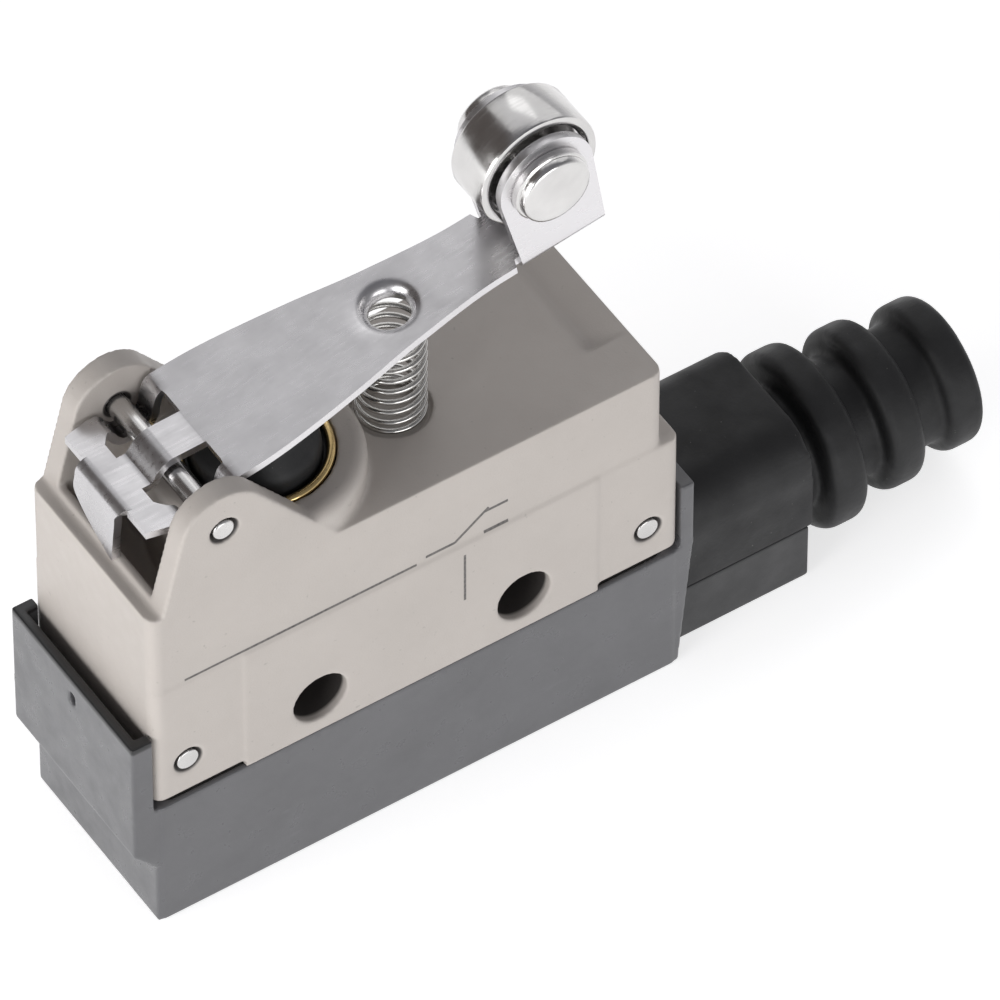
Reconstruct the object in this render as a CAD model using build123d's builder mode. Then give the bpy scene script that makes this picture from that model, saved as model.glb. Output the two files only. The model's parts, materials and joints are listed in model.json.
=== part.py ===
"""Enclosed limit switch with a hinged roller lever and a rubber cable boot, as separate pieces.

Millimetres. The origin is midway between the two mounting holes, in the middle of the body's
thickness. +X runs along the body to the cable boot, +Y to the rear face, +Z up to the lever.
"""
import os
from math import cos, radians, sin, tan

from build123d import *

os.makedirs("parts", exist_ok=True)

# ---------------------------------------------------------------- driving dimensions
hole_pitch = 17.0  # mounting holes
hole_r = 2.2
half_t = 8.0  # half the thickness over the mounting pads
body_left = -22.2
flange_right = 21.7
upper_right = 20.3
base_z = -15.8
seam_z = -3.4  # where the bottom cover meets the case
step_z = 8.7  # top of the case's flange
top_z = 16.5  # main top face
pin_x, pin_z = -16.0, 22.6  # lever hinge
pin_r = 0.88
lever_slope = 9.0  # degrees, lever released
plunger_x = -8.6
tower_z = 19.2
roller_x, roller_z = 13.6, 36.0
roller_r = 4.75
spring_x = 2.6
spring_seat_r = 2.9
spring_seat_depth = 0.5
boot_z = -8.8  # axis of the cable
cable_r = 3.4

# ---------------------------------------------------------------- derived and secondary sizes
flange_half = half_t - 0.1
upper_half = half_t - 0.2
ear_inner = 6.0  # half the gap between the ears
ear_r = 3.55
ear_lean = 14.0  # degrees from vertical, left side
ear_slope = 52.0  # degrees from horizontal, right side
left_wall_z = 17.0
wall = 1.6
cavity_half = 6.2
boss_r = 3.2
boss_x = hole_pitch / 2
tower_r = upper_half
ring_r, ring_wire_r = 5.3, 0.33
recess_r, recess_z = 5.7, 18.0
bush_r = 3.0
plunger_r = 2.0
slide_gap = 0.05
cover_screw_x = -14.8
cover_floor_z = base_z + 1.9
retaining_pin_r = 0.88
retaining_pins_x = (-19.4, 19.0)
retaining_pin_z = 0.35
end_plate_left = -24.0
foot_chamfer = 0.7
counterbore_step, counterbore_depth = 0.28, 0.35  # shallow recess round each pin's end
hook_low, hook_high, hook_width = 1.2, 2.2, 7.8  # the cover's hook on the case's right end


def save(part, label):
    """Label a finished piece and write it to its own file."""
    part.label = label
    export_step(part, f"parts/{label}.step")


# ================================================================ enclosure
left_touch = (pin_x - ear_r * cos(radians(ear_lean)), pin_z + ear_r * sin(radians(ear_lean)))
right_touch = (pin_x + ear_r * sin(radians(ear_slope)), pin_z + ear_r * cos(radians(ear_slope)))
ear_foot_z = top_z - 1.0
left_foot = (left_touch[0] - (left_touch[1] - ear_foot_z) * tan(radians(ear_lean)), ear_foot_z)
right_foot = (right_touch[0] + (right_touch[1] - ear_foot_z) / tan(radians(ear_slope)), ear_foot_z)
pad_length = 29.4
ceiling_z = top_z - wall
lower_ceiling_z = 7.2
lower_cavity = (-21.0, 20.3)
upper_cavity = (-14.0, upper_right - wall)
pocket = (body_left + 1.8, -15.6)
pocket_floor_z = 10.4

with BuildPart() as case:
    # flange and the slightly slimmer body above it, with rounded upright corners
    for low_z, high_z, right, half in (
        (seam_z, step_z, flange_right, flange_half),
        (step_z, top_z, upper_right, upper_half),
    ):
        with BuildSketch(Plane.XY.offset(low_z)):
            with Locations(((body_left + right) / 2, 0)):
                RectangleRounded(right - body_left, 2 * half, 0.9)
        extrude(amount=high_z - low_z)
    # small bevel at the foot of the flange's right end
    right_foot_edge = case.edges().filter_by(Axis.Y).group_by(Axis.Z)[0].sort_by(Axis.X)[-1]
    chamfer(right_foot_edge, foot_chamfer)
    # raised pads round the mounting holes
    with BuildSketch(Plane.XZ):
        with Locations((0, (seam_z + step_z) / 2)):
            Rectangle(pad_length, step_z - seam_z)
    extrude(amount=half_t, both=True)
    # the two hinge ears, with the slot between them
    with BuildSketch(Plane.XZ):
        with BuildLine():
            Line(left_foot, left_touch)
            ThreePointArc(left_touch, (pin_x, pin_z + ear_r), right_touch)
            Line(right_touch, right_foot)
            Line(right_foot, left_foot)
        make_face()
    extrude(amount=upper_half, both=True)
    with BuildSketch(Plane.XY.offset(left_wall_z)):
        with Locations(((body_left + right_foot[0]) / 2, 0)):
            Rectangle(right_foot[0] - body_left + 2, 2 * ear_inner)
    extrude(amount=pin_z + ear_r, mode=Mode.SUBTRACT)
    with BuildSketch(Plane.XY.offset(pocket_floor_z)):
        with Locations(((pocket[0] + pocket[1]) / 2, 0)):
            Rectangle(pocket[1] - pocket[0], 2 * ear_inner)
    extrude(amount=top_z, mode=Mode.SUBTRACT)
    # plunger tower: as wide as the body, with a rounded rim
    with BuildSketch(Plane(origin=(plunger_x, 0, 0), x_dir=(1, 0, 0), z_dir=(0, -1, 0))) as tower_profile:
        with Locations((tower_r / 2, (step_z + tower_z) / 2)):
            Rectangle(tower_r, tower_z - step_z)
        rim = tower_profile.vertices().group_by(Axis.Y)[-1].sort_by(Axis.X)[-1]
        fillet(rim, 0.9)
    revolve(axis=Axis((plunger_x, 0, 0), (0, 0, 1)))
    # inner room, open at the seam
    for (low_x, high_x), top in ((lower_cavity, lower_ceiling_z), (upper_cavity, ceiling_z)):
        with BuildSketch(Plane.XY.offset(seam_z)):
            with Locations(((low_x + high_x) / 2, 0)):
                Rectangle(high_x - low_x, 2 * cavity_half)
        extrude(amount=top - seam_z, mode=Mode.SUBTRACT)
    # bosses round the mounting holes and the rib that takes the cover screw
    with BuildSketch(Plane.XZ):
        with Locations((-boss_x, 0), (boss_x, 0)):
            Circle(boss_r)
    extrude(amount=cavity_half + 0.5, both=True)
    with BuildSketch(Plane.XY.offset(seam_z)):
        with Locations((cover_screw_x, 0)):
            Rectangle(4.4, 2 * cavity_half + 1)
    extrude(amount=2.4 - seam_z)
    with BuildSketch(Plane.XY.offset(seam_z)):
        with Locations((cover_screw_x, 0)):
            Circle(1.27)
    extrude(amount=5.2, mode=Mode.SUBTRACT)
    # mounting holes, hinge pin hole, retaining pin holes with their counterbores
    with BuildSketch(Plane.XZ):
        with Locations((-boss_x, 0), (boss_x, 0)):
            Circle(hole_r)
    extrude(amount=half_t + 1, both=True, mode=Mode.SUBTRACT)
    with BuildSketch(Plane.XZ):
        with Locations((pin_x, pin_z)):
            Circle(pin_r)
        with Locations(*[(x, retaining_pin_z) for x in retaining_pins_x]):
            Circle(retaining_pin_r)
    extrude(amount=half_t + 1, both=True, mode=Mode.SUBTRACT)
    for side in (-1, 1):
        for face, pin_radius, places in (
            (flange_half, retaining_pin_r, [(x, retaining_pin_z) for x in retaining_pins_x]),
            (upper_half, pin_r, [(pin_x, pin_z)]),
        ):
            with BuildSketch(Plane.XZ.offset(side * face)):
                with Locations(*places):
                    Circle(pin_radius + counterbore_step)
            extrude(amount=-side * counterbore_depth, mode=Mode.SUBTRACT)
    # plunger bore, diaphragm recess and the shallow seat of the lever spring
    for radius, low_z in ((bush_r, top_z - wall - 1), (recess_r, recess_z)):
        with BuildSketch(Plane.XY.offset(low_z)):
            with Locations((plunger_x, 0)):
                Circle(radius)
        extrude(amount=10, mode=Mode.SUBTRACT)
    with BuildSketch(Plane.XY.offset(top_z)):
        with Locations((spring_x, 0)):
            Circle(spring_seat_r)
    extrude(amount=-spring_seat_depth, mode=Mode.SUBTRACT)
    # slot in the right end that the cover's hook snaps into
    with BuildSketch(Plane.XY.offset(hook_low - 0.3)):
        with Locations((flange_right - 0.4, 0)):
            Rectangle(0.8, hook_width + 0.6)
    extrude(amount=hook_high - hook_low + 0.6, mode=Mode.SUBTRACT)
save(case.part, "case")

# ---------------------------------------------------------------- bottom cover
plate_lean = 1.2  # how far the right plate stands out at the seam
cover_room = (-20.3, 19.5)
cover_room_half = 6.1
plate_half = 7.9
left_plate_top = 4.2
right_plate_top = 3.0
plate_gap = 1.05
plate_cheek = 0.9  # thickness of the left plate's front and rear walls
seal_inner_half = 6.6
seal_outer_half = 7.5
seal_span = (-21.7, 20.9)
seal_width = seal_outer_half - seal_inner_half
seal_depth = 0.7
boot_tube_r = 4.5
boot_hole_r = 4.55
peg_r, peg_y, peg_z = 0.6, 5.2, -13.0


def seal_ring():
    """The seal's outline: a rounded rectangle with the same one, one seal width smaller, cut out."""
    with Locations(((seal_span[0] + seal_span[1]) / 2, 0)):
        RectangleRounded(seal_span[1] - seal_span[0], 2 * seal_outer_half, 1.4)
        RectangleRounded(
            seal_span[1] - seal_span[0] - 2 * seal_width, 2 * seal_inner_half, 0.6, mode=Mode.SUBTRACT
        )


with BuildPart() as bottom_cover:
    with BuildSketch(Plane.XZ):
        with BuildLine():
            Polyline(
                (body_left, base_z),
                (flange_right, base_z),
                (flange_right + plate_lean, seam_z),
                (flange_right + plate_lean, right_plate_top),
                (flange_right + 0.1, right_plate_top),
                (flange_right + 0.1, seam_z),
                (body_left - plate_gap, seam_z),
                (body_left - plate_gap, left_plate_top),
                (end_plate_left, left_plate_top),
                (end_plate_left, -7.5),
                (body_left, -9.7),
                close=True,
            )
        make_face()
    extrude(amount=plate_half, both=True)
    with BuildSketch(Plane.XY.offset(base_z)):
        with Locations(((body_left + flange_right) / 2, 0)):
            RectangleRounded(flange_right - body_left, 2 * half_t, 0.7)
    extrude(amount=seam_z - base_z)
    chamfer(bottom_cover.faces().sort_by(Axis.Z)[0].edges(), 0.3)
    # front and rear walls that close the gap between the left plate and the case
    with BuildSketch(Plane.XY.offset(seam_z)):
        for side in (-1, 1):
            with Locations((body_left - (plate_gap + slide_gap) / 2, side * (plate_half - plate_cheek / 2))):
                Rectangle(plate_gap - slide_gap, plate_cheek)
    extrude(amount=left_plate_top - seam_z)
    # the room for the conductors and the seal's groove round its rim
    with BuildSketch(Plane.XY.offset(cover_floor_z)):
        with Locations((sum(cover_room) / 2, 0)):
            RectangleRounded(cover_room[1] - cover_room[0], 2 * cover_room_half, 0.8)
    extrude(amount=seam_z - cover_floor_z, mode=Mode.SUBTRACT)
    with BuildSketch(Plane.XY.offset(seam_z)):
        seal_ring()
    extrude(amount=-seal_depth, mode=Mode.SUBTRACT)
    # pillar, hole and head recess of the cover screw
    with BuildSketch(Plane.XY.offset(cover_floor_z)):
        with Locations((cover_screw_x, 0)):
            Circle(2.9)
    extrude(amount=seam_z - cover_floor_z)
    with BuildSketch(Plane.XY.offset(base_z)):
        with Locations((cover_screw_x, 0)):
            Circle(1.4)
    extrude(amount=seam_z - base_z, mode=Mode.SUBTRACT)
    with BuildSketch(Plane.XY.offset(base_z)):
        with Locations((cover_screw_x, 0)):
            Circle(2.5)
    extrude(amount=1.8, mode=Mode.SUBTRACT)
    # hook that snaps into the case's right end
    with BuildSketch(Plane.XY.offset(hook_low)):
        with Locations((flange_right - 0.2, 0)):
            Rectangle(0.7, hook_width)
    extrude(amount=hook_high - hook_low)
    # cable outlet, holes for the saddle's pegs, and the latch window in the left plate
    with BuildSketch(Plane.YZ.offset(cover_room[1] - 1)):
        with Locations((0, boot_z)):
            Circle(boot_hole_r)
        with Locations((-peg_y, peg_z), (peg_y, peg_z)):
            Circle(peg_r)
    extrude(amount=6, mode=Mode.SUBTRACT)
    with BuildSketch(Plane.YZ.offset(end_plate_left)):
        with Locations((0, 2.1)):
            Rectangle(0.7, 1.1)
    extrude(amount=0.6, mode=Mode.SUBTRACT)
save(bottom_cover.part, "bottom_cover")

with BuildPart() as cover_seal:
    with BuildSketch(Plane.XY.offset(seam_z - seal_depth)):
        seal_ring()
    extrude(amount=seal_depth)
save(cover_seal.part, "cover_seal")

with BuildPart() as cover_screw:
    head_low = base_z + 0.15
    with BuildSketch(Plane.XY.offset(head_low)):
        with Locations((cover_screw_x, 0)):
            Circle(2.3)
    extrude(amount=1.65)
    chamfer(cover_screw.edges().group_by(Axis.Z)[0], 0.35)
    with BuildSketch(Plane.XY.offset(head_low + 1.65)):
        with Locations((cover_screw_x, 0)):
            Circle(1.25)
    extrude(amount=12.6)
    with BuildSketch(Plane.XY.offset(head_low)):
        with Locations((cover_screw_x, 0)):
            Rectangle(2.7, 0.55)
            Rectangle(0.55, 2.7)
    extrude(amount=0.9, mode=Mode.SUBTRACT)
save(cover_screw.part, "cover_screw")

with BuildPart() as retaining_pins:
    with BuildSketch(Plane.XZ):
        with Locations(*[(x, retaining_pin_z) for x in retaining_pins_x]):
            Circle(retaining_pin_r)
    extrude(amount=flange_half - 0.05, both=True)
save(retaining_pins.part, "retaining_pins")

# ================================================================ cable boot
boot_face = flange_right + slide_gap  # left end of the boot's block and of the saddle, before trimming
block_right = 34.2
block_half = 6.4
block_top = -1.5
saddle_top = -10.3
saddle_half = 6.4
neck_r = 4.7
ribs = ((38.9, 6.95), (44.3, 6.35), (49.7, 5.75))  # right face and radius of each rib
rib_width = 2.9
boot_inner_flange = 1.4

with BuildSketch(Plane.XZ) as cover_end:  # the cover's sloping end, with a little room in front of it
    with BuildLine():
        Polyline(
            (flange_right - 4, base_z - 1),
            (boot_face, base_z - 1),
            (boot_face, base_z),
            (flange_right + plate_lean + slide_gap, seam_z),
            (flange_right + plate_lean + slide_gap, seam_z + 3),
            (flange_right - 4, seam_z + 3),
            close=True,
        )
    make_face()

with BuildPart() as cable_boot:
    with BuildSketch(Plane.YZ.offset(boot_face)) as block_section:
        with Locations((0, (saddle_top + block_top) / 2)):
            Rectangle(2 * block_half, block_top - saddle_top)
        fillet(block_section.vertices().group_by(Axis.Y)[-1], 3.6)
    extrude(amount=block_right - boot_face)
    extrude(cover_end.sketch, amount=half_t, both=True, mode=Mode.SUBTRACT)
    # tube through the cover, with the flange that keeps it in
    with BuildSketch(Plane.YZ.offset(cover_room[1] - boot_inner_flange)):
        with Locations((0, boot_z)):
            RectangleRounded(2 * 5.2, 2 * boot_hole_r, 3.0)
    extrude(amount=boot_inner_flange)
    with BuildSketch(Plane.YZ.offset(cover_room[1])):
        with Locations((0, boot_z)):
            Circle(boot_tube_r)
    extrude(amount=block_right - cover_room[1])
    with BuildSketch(Plane.YZ.offset(block_right)):
        with Locations((0, boot_z)):
            Circle(neck_r)
    extrude(amount=ribs[-1][0] - 1 - block_right)
    for right, radius in ribs:
        with BuildSketch(Plane(origin=(0, 0, boot_z), x_dir=(1, 0, 0), z_dir=(0, -1, 0))) as rib_profile:
            with Locations((right - rib_width / 2, radius / 2)):
                Rectangle(rib_width, radius)
            fillet(rib_profile.vertices().group_by(Axis.Y)[-1], 0.75)
        revolve(axis=Axis((0, 0, boot_z), (1, 0, 0)))
    with BuildSketch(Plane.YZ.offset(cover_room[1] - 3)):
        with Locations((0, boot_z)):
            Circle(cable_r)
    extrude(amount=40, mode=Mode.SUBTRACT)
save(cable_boot.part, "cable_boot")

with BuildPart() as boot_saddle:
    with BuildSketch(Plane.YZ.offset(boot_face)) as saddle_section:
        with Locations((0, (base_z + saddle_top) / 2)):
            Rectangle(2 * saddle_half, saddle_top - base_z)
        fillet(saddle_section.vertices().group_by(Axis.Y)[0], 0.6)
        with Locations((0, boot_z)):
            Circle(boot_tube_r + 0.25, mode=Mode.SUBTRACT)
    extrude(amount=block_right - 0.3 - boot_face)
    extrude(cover_end.sketch, amount=half_t, both=True, mode=Mode.SUBTRACT)
    with BuildSketch(Plane.YZ.offset(cover_room[1] + 0.2)):
        with Locations((-peg_y, peg_z), (peg_y, peg_z)):
            Circle(peg_r - 0.02)
    extrude(amount=3.6)
save(boot_saddle.part, "boot_saddle")

# ================================================================ lever and roller
sheet = 0.65
strap_gap = 0.05  # between the straps and the pin
plate_low = pin_r + strap_gap  # the plate's underside, measured square to it from the pin's axis
plate_high = plate_low + sheet
slope = radians(lever_slope)
side_view = Plane(origin=(pin_x, 0, pin_z), x_dir=(cos(slope), 0, sin(slope)), z_dir=(0, -1, 0))
face_view = Plane(
    origin=(pin_x, 0, pin_z), x_dir=(cos(slope), 0, sin(slope)), z_dir=(-sin(slope), 0, cos(slope))
)
hinge_half = 5.65  # half widths of the plate along its length
root_half = 5.45
waist_half = 3.7
fork_half = 2.95
window_left, window_right = -2.2, 2.7
root_u, waist_u, fork_u, tip_u = 7.5, 19.0, 26.6, 34.6
strap_half = 1.65
window_half = 3.9  # outer edge of the two windows
tail_left = -20.7
tail_top = pin_z + 0.3
bend_r = 1.1
bend_x = -20.35
lip_front, lip_back = -2.0, 3.0
lip_low = left_wall_z + 0.05
hole_u = 18.9
collar_r, collar_wall, collar_depth = 1.55, 0.45, 1.0
lug_r = 3.8
lug_u = (28.2, 35.2)
axle_r = 1.5
rivet_head_r = 2.95
rivet_head_width = 1.45
roller_half = 2.0

roller_u = (roller_x - pin_x) * cos(slope) + (roller_z - pin_z) * sin(slope)
roller_w = (roller_z - pin_z) * cos(slope) - (roller_x - pin_x) * sin(slope)


def below(points, thickness):
    """The same bends one sheet thickness to the right of a folded line, with mitred corners, in reverse."""
    lower = []
    for i, point in enumerate(points):
        here = Vector(*point)
        before = (here - Vector(*points[i - 1])).normalized() if i else None
        after = (Vector(*points[i + 1]) - here).normalized() if i < len(points) - 1 else before
        before = before or after
        normal_in, normal_out = Vector(before.Y, -before.X), Vector(after.Y, -after.X)
        mitre = normal_in + normal_out
        lower.append(here + mitre * (thickness / (1 + normal_in.dot(normal_out))))
    return [(p.X, p.Y) for p in reversed(lower)]


with BuildPart() as lever:
    # main plate, tapering to the fork
    with BuildSketch(face_view.offset(plate_low)):
        with BuildLine():
            Line((window_right, -hinge_half), (window_right + 1.2, -hinge_half))
            Spline(
                (window_right + 1.2, -hinge_half),
                (root_u, -root_half),
                ((root_u + waist_u) / 2, -(root_half + waist_half) / 2 - 0.1),
                (waist_u, -waist_half),
                (fork_u, -fork_half),
                tangents=((1, 0), (1, 0)),
            )
            Line((fork_u, -fork_half), (tip_u, -fork_half))
            mirror(about=Plane.XZ)
            Line((window_right, -hinge_half), (window_right, hinge_half))
            Line((tip_u, -fork_half), (tip_u, fork_half))
        make_face()
        with Locations((hole_u, 0)):
            Circle(collar_r, mode=Mode.SUBTRACT)
    extrude(amount=sheet)
    # drawn collar that centres the spring
    with BuildSketch(face_view.offset(plate_low - collar_depth)):
        with Locations((hole_u, 0)):
            Circle(collar_r + collar_wall)
            Circle(collar_r, mode=Mode.SUBTRACT)
    extrude(amount=collar_depth + sheet)
    rim = lever.edges().filter_by(GeomType.CIRCLE).filter_by(lambda e: abs(e.radius - collar_r) < 0.01)
    fillet(rim.sort_by(Axis.Z)[-1], 0.6)
    # middle strap over the pin
    arc_end = radians(150)
    strap_foot = 0.81
    with BuildSketch(side_view.offset(-strap_half)):
        with BuildLine():
            Line((window_right + 0.3, plate_low), (0, plate_low))
            CenterArc((0, 0), plate_low, 90, 60)
            foot_z = plate_low * sin(arc_end) - strap_foot
            Polyline(
                (plate_low * cos(arc_end), plate_low * sin(arc_end)),
                (plate_low * cos(arc_end) - strap_foot * tan(radians(30)), foot_z),
                (window_left - 0.4, foot_z + 0.25),
                (window_left - 0.4, foot_z + 0.25 + sheet),
                (-1.62, 0.4),
                (plate_high * cos(arc_end), plate_high * sin(arc_end)),
            )
            CenterArc((0, 0), plate_high, 90, 60)
            Polyline((0, plate_high), (window_right + 0.3, plate_high), (window_right + 0.3, plate_low))
        make_face()
    extrude(amount=2 * strap_half)
    # side straps, which dip under the pin
    dip = [
        (-3.2, 0.8),
        (-2.1, 0.62),
        (-1.35, -plate_low),
        (1.35, -plate_low),
        (window_right - 0.3, plate_high),
        (window_right + 0.9, plate_high),
    ]
    for y_mid in (-(window_half + hinge_half) / 2, (window_half + hinge_half) / 2):
        with BuildSketch(side_view.offset(-y_mid)):
            with BuildLine():
                Polyline(*dip, *below(dip, sheet), close=True)
            make_face()
        extrude(amount=(hinge_half - window_half) / 2, both=True)
    # tail plate, level when the lever is released
    tail_right = pin_x + (window_left + 0.1) * cos(slope)
    with BuildSketch(Plane.XY.offset(tail_top - sheet)):
        with BuildLine():
            Polyline(
                (tail_right, -hinge_half + 0.3),
                (tail_right, hinge_half - 0.1),
                (tail_left, hinge_half - 0.4),
                (tail_left, lip_back),
                (bend_x, lip_back),
                (bend_x, lip_front - 0.8),
                (tail_left, lip_front - 1.2),
                (tail_left + 0.5, -hinge_half + 0.1),
                close=True,
            )
        make_face()
    extrude(amount=sheet)
    # rolled edge and the pointed lip that rests on the case's left wall
    with BuildSketch(Plane.XZ.offset(-lip_back)):
        with BuildLine():
            bend_z = tail_top - bend_r
            CenterArc((bend_x, bend_z), bend_r, 90, 90)
            CenterArc((bend_x, bend_z), bend_r - sheet, 90, 90)
            Line((bend_x, tail_top), (bend_x, tail_top - sheet))
            Line((bend_x - bend_r, bend_z), (bend_x - bend_r + sheet, bend_z))
        make_face()
    extrude(amount=lip_back - lip_front + 0.8)
    with BuildSketch(Plane.YZ.offset(bend_x - bend_r)):
        with BuildLine():
            Line((lip_back, bend_z), (lip_back + 0.3, bend_z - 1.6))
            ThreePointArc((lip_back + 0.3, bend_z - 1.6), (1.3, 18.6), (lip_front + 0.8, lip_low))
            Line((lip_front + 0.8, lip_low), (lip_front + 0.3, lip_low + 0.2))
            Line((lip_front + 0.3, lip_low + 0.2), (lip_front, bend_z))
            Line((lip_front, bend_z), (lip_back, bend_z))
        make_face()
    extrude(amount=sheet)
    # lugs bent up at the fork for the roller's rivet
    with BuildSketch(side_view) as lug_outline:
        with BuildLine():
            Line((lug_u[0], plate_low), (lug_u[1], plate_low))
            CenterArc((roller_u, roller_w), lug_r, 0, 180)
        make_hull()
        with Locations((roller_u, roller_w)):
            Circle(axle_r + 0.02, mode=Mode.SUBTRACT)
    for y_low in (-fork_half, fork_half - sheet):
        extrude(lug_outline.sketch.moved(Location((0, y_low + sheet, 0))), amount=sheet)
save(lever.part, "lever")

with BuildPart() as hinge_pin:
    with BuildSketch(Plane.XZ):
        with Locations((pin_x, pin_z)):
            Circle(pin_r)
    extrude(amount=upper_half - 0.02, both=True)
    chamfer(hinge_pin.edges(), 0.15)
save(hinge_pin.part, "hinge_pin")

roller_view = Plane(origin=(roller_x, 0, roller_z), x_dir=(1, 0, 0), z_dir=(0, 0, 1))
roller_line = Axis((roller_x, 0, roller_z), (0, 1, 0))
with BuildPart() as roller:
    with BuildSketch(roller_view) as roller_profile:
        with Locations(((axle_r + slide_gap + roller_r) / 2, 0)):
            Rectangle(roller_r - axle_r - slide_gap, 2 * roller_half)
        fillet(roller_profile.vertices().group_by(Axis.X)[-1], 0.3)
        with Locations((3.0, roller_half), (3.0, -roller_half)):
            Rectangle(2.2, 0.8, mode=Mode.SUBTRACT)
    revolve(axis=roller_line)
save(roller.part, "roller")

with BuildPart() as roller_axle:
    with BuildSketch(roller_view) as axle_profile:
        with Locations((axle_r / 2, 0)):
            Rectangle(axle_r, 2 * fork_half)
        for side in (-1, 1):
            with Locations((rivet_head_r / 2, side * (fork_half + rivet_head_width / 2))):
                Rectangle(rivet_head_r, rivet_head_width)
        corners = axle_profile.vertices().group_by(Axis.X)[-1].sort_by(Axis.Y)
        chamfer([corners[0], corners[-1]], 0.35)
    revolve(axis=roller_line)
save(roller_axle.part, "roller_axle")

# ================================================================ springs, plunger and diaphragm
spring_low = top_z - spring_seat_depth
plunger_low = 16.6
plunger_top = 23.85
cup_r, cup_roof = 1.42, 22.6
pusher_head_low, pusher_head_high = 17.4, 18.2
springs = {  # mean radius, wire radius, low and high ends, turns, X of the axis
    "lever_spring": (2.4, 0.21, spring_low + 0.02, 26.0, 6.5, spring_x),
    "overtravel_spring": (1.08, 0.17, pusher_head_high + 0.02, cup_roof - 0.02, 5, plunger_x),
}
for label, (mean_r, wire_r, low_z, high_z, turns, axis_x) in springs.items():
    rise = high_z - low_z - 2 * wire_r
    with BuildPart() as spring:
        with BuildLine(Plane(origin=(axis_x, 0, low_z + wire_r))) as wire:
            Helix(pitch=rise / turns, height=rise, radius=mean_r)
        with BuildSketch(Plane(origin=wire.line @ 0, z_dir=wire.line % 0)):
            Circle(wire_r)
        sweep(path=wire.line)
    save(spring.part, label)

diaphragm_low = recess_z
flange_high = recess_z + 0.75
dome_top = 24.5
plunger_line = Axis((plunger_x, 0, 0), (0, 0, 1))
plunger_view = Plane(origin=(plunger_x, 0, 0), x_dir=(1, 0, 0), z_dir=(0, -1, 0))
with BuildPart() as plunger_diaphragm:
    with BuildSketch(plunger_view):
        with BuildLine():
            Polyline(
                (4.15, diaphragm_low),
                (5.6, diaphragm_low),
                (5.6, flange_high),
                (4.75, flange_high),
                (4.6, 20.4),
                (3.5, 22.0),
                (3.2, 23.2),
                (2.6, 23.95),
                (1.9, dome_top - 0.17),
                (0.9, dome_top),
                (0, dome_top),
                (0, plunger_top + 0.03),
                (1.7, plunger_top + 0.03),
                (2.1, plunger_top - 0.5),
                (2.4, 22.7),
                (3.0, 21.6),
                (4.0, 20.1),
                close=True,
            )
        make_face()
    revolve(axis=plunger_line)
save(plunger_diaphragm.part, "plunger_diaphragm")

with BuildPart() as diaphragm_ring:
    with BuildSketch(plunger_view):
        with Locations((ring_r, flange_high + ring_wire_r)):
            Circle(ring_wire_r)
    revolve(axis=plunger_line)
save(diaphragm_ring.part, "diaphragm_ring")

bush_low, bush_high = ceiling_z, 19.7
with BuildPart() as plunger_bush:
    with BuildSketch(plunger_view):
        with Locations(((plunger_r + slide_gap + bush_r) / 2, (bush_low + bush_high) / 2)):
            Rectangle(bush_r - plunger_r - slide_gap, bush_high - bush_low)
    revolve(axis=plunger_line)
save(plunger_bush.part, "plunger_bush")

with BuildPart() as plunger:
    with BuildSketch(plunger_view) as plunger_profile:
        with Locations((plunger_r / 2, (plunger_low + plunger_top) / 2)):
            Rectangle(plunger_r, plunger_top - plunger_low)
        fillet(plunger_profile.vertices().group_by(Axis.Y)[-1].sort_by(Axis.X)[-1], 0.6)
        with Locations((cup_r / 2, (plunger_low + cup_roof) / 2)):
            Rectangle(cup_r, cup_roof - plunger_low, mode=Mode.SUBTRACT)
    revolve(axis=plunger_line)
save(plunger.part, "plunger")

button_top = 14.7
with BuildPart() as pusher:
    for radius, low_z, high_z in (
        (0.75, button_top, pusher_head_low),
        (cup_r - 0.06, pusher_head_low, pusher_head_high),
    ):
        with BuildSketch(Plane.XY.offset(low_z)):
            with Locations((plunger_x, 0)):
                Circle(radius)
        extrude(amount=high_z - low_z)
save(pusher.part, "pusher")

# ================================================================ snap-action switch inside the case
switch_half = 5.0
base_low, base_top = 4.0, 8.6
base_flange_top = 6.9
tab_low, tab_high = 3.35, 3.95
strip_half = 1.8
slot_gap = 0.05
blade_z, blade_thick = 10.9, 0.25
pivot_x = -12.25
contact_x = 3.9
contact_thick, rivet_r = 0.425, 0.5  # the moving contact's two faces and the rivet through the blade
screw_holes_x = (-2.7, 2.7, 14.6)
screw_clearance_r = 1.25
com_x, no_x, nc_x = (-12.9, -12.3), (0.65, 1.25), (6.6, 7.2)
with BuildPart() as switch_base:
    for low_x, high_x, low_z, high_z in (
        (-20.7, 20.1, base_low, base_flange_top),
        (-13.6, 8.2, base_flange_top, base_top),
        (-20.7, -17.3, -1.2, base_low),
        (17.2, 20.1, -1.2, base_low),
    ):
        with BuildSketch(Plane.XY.offset(low_z)):
            with Locations(((low_x + high_x) / 2, 0)):
                Rectangle(high_x - low_x, 2 * switch_half)
        extrude(amount=high_z - low_z)
    with BuildSketch(Plane.XZ):
        with Locations(*[(x, retaining_pin_z) for x in retaining_pins_x]):
            Circle(retaining_pin_r + 0.04)
    extrude(amount=switch_half + 1, both=True, mode=Mode.SUBTRACT)
    with BuildSketch(Plane.XY.offset(base_low)):
        for low_x, high_x in (com_x, no_x, nc_x):
            with Locations(((low_x + high_x) / 2, 0)):
                Rectangle(high_x - low_x + 2 * slot_gap, 2 * (strip_half + slot_gap))
    extrude(amount=base_top - base_low, mode=Mode.SUBTRACT)
    with BuildSketch(Plane.XY.offset(base_low)):
        with Locations(*[(x, 0) for x in screw_holes_x]):
            Circle(screw_clearance_r)
    extrude(amount=2.6, mode=Mode.SUBTRACT)
save(switch_base.part, "switch_base")

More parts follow.
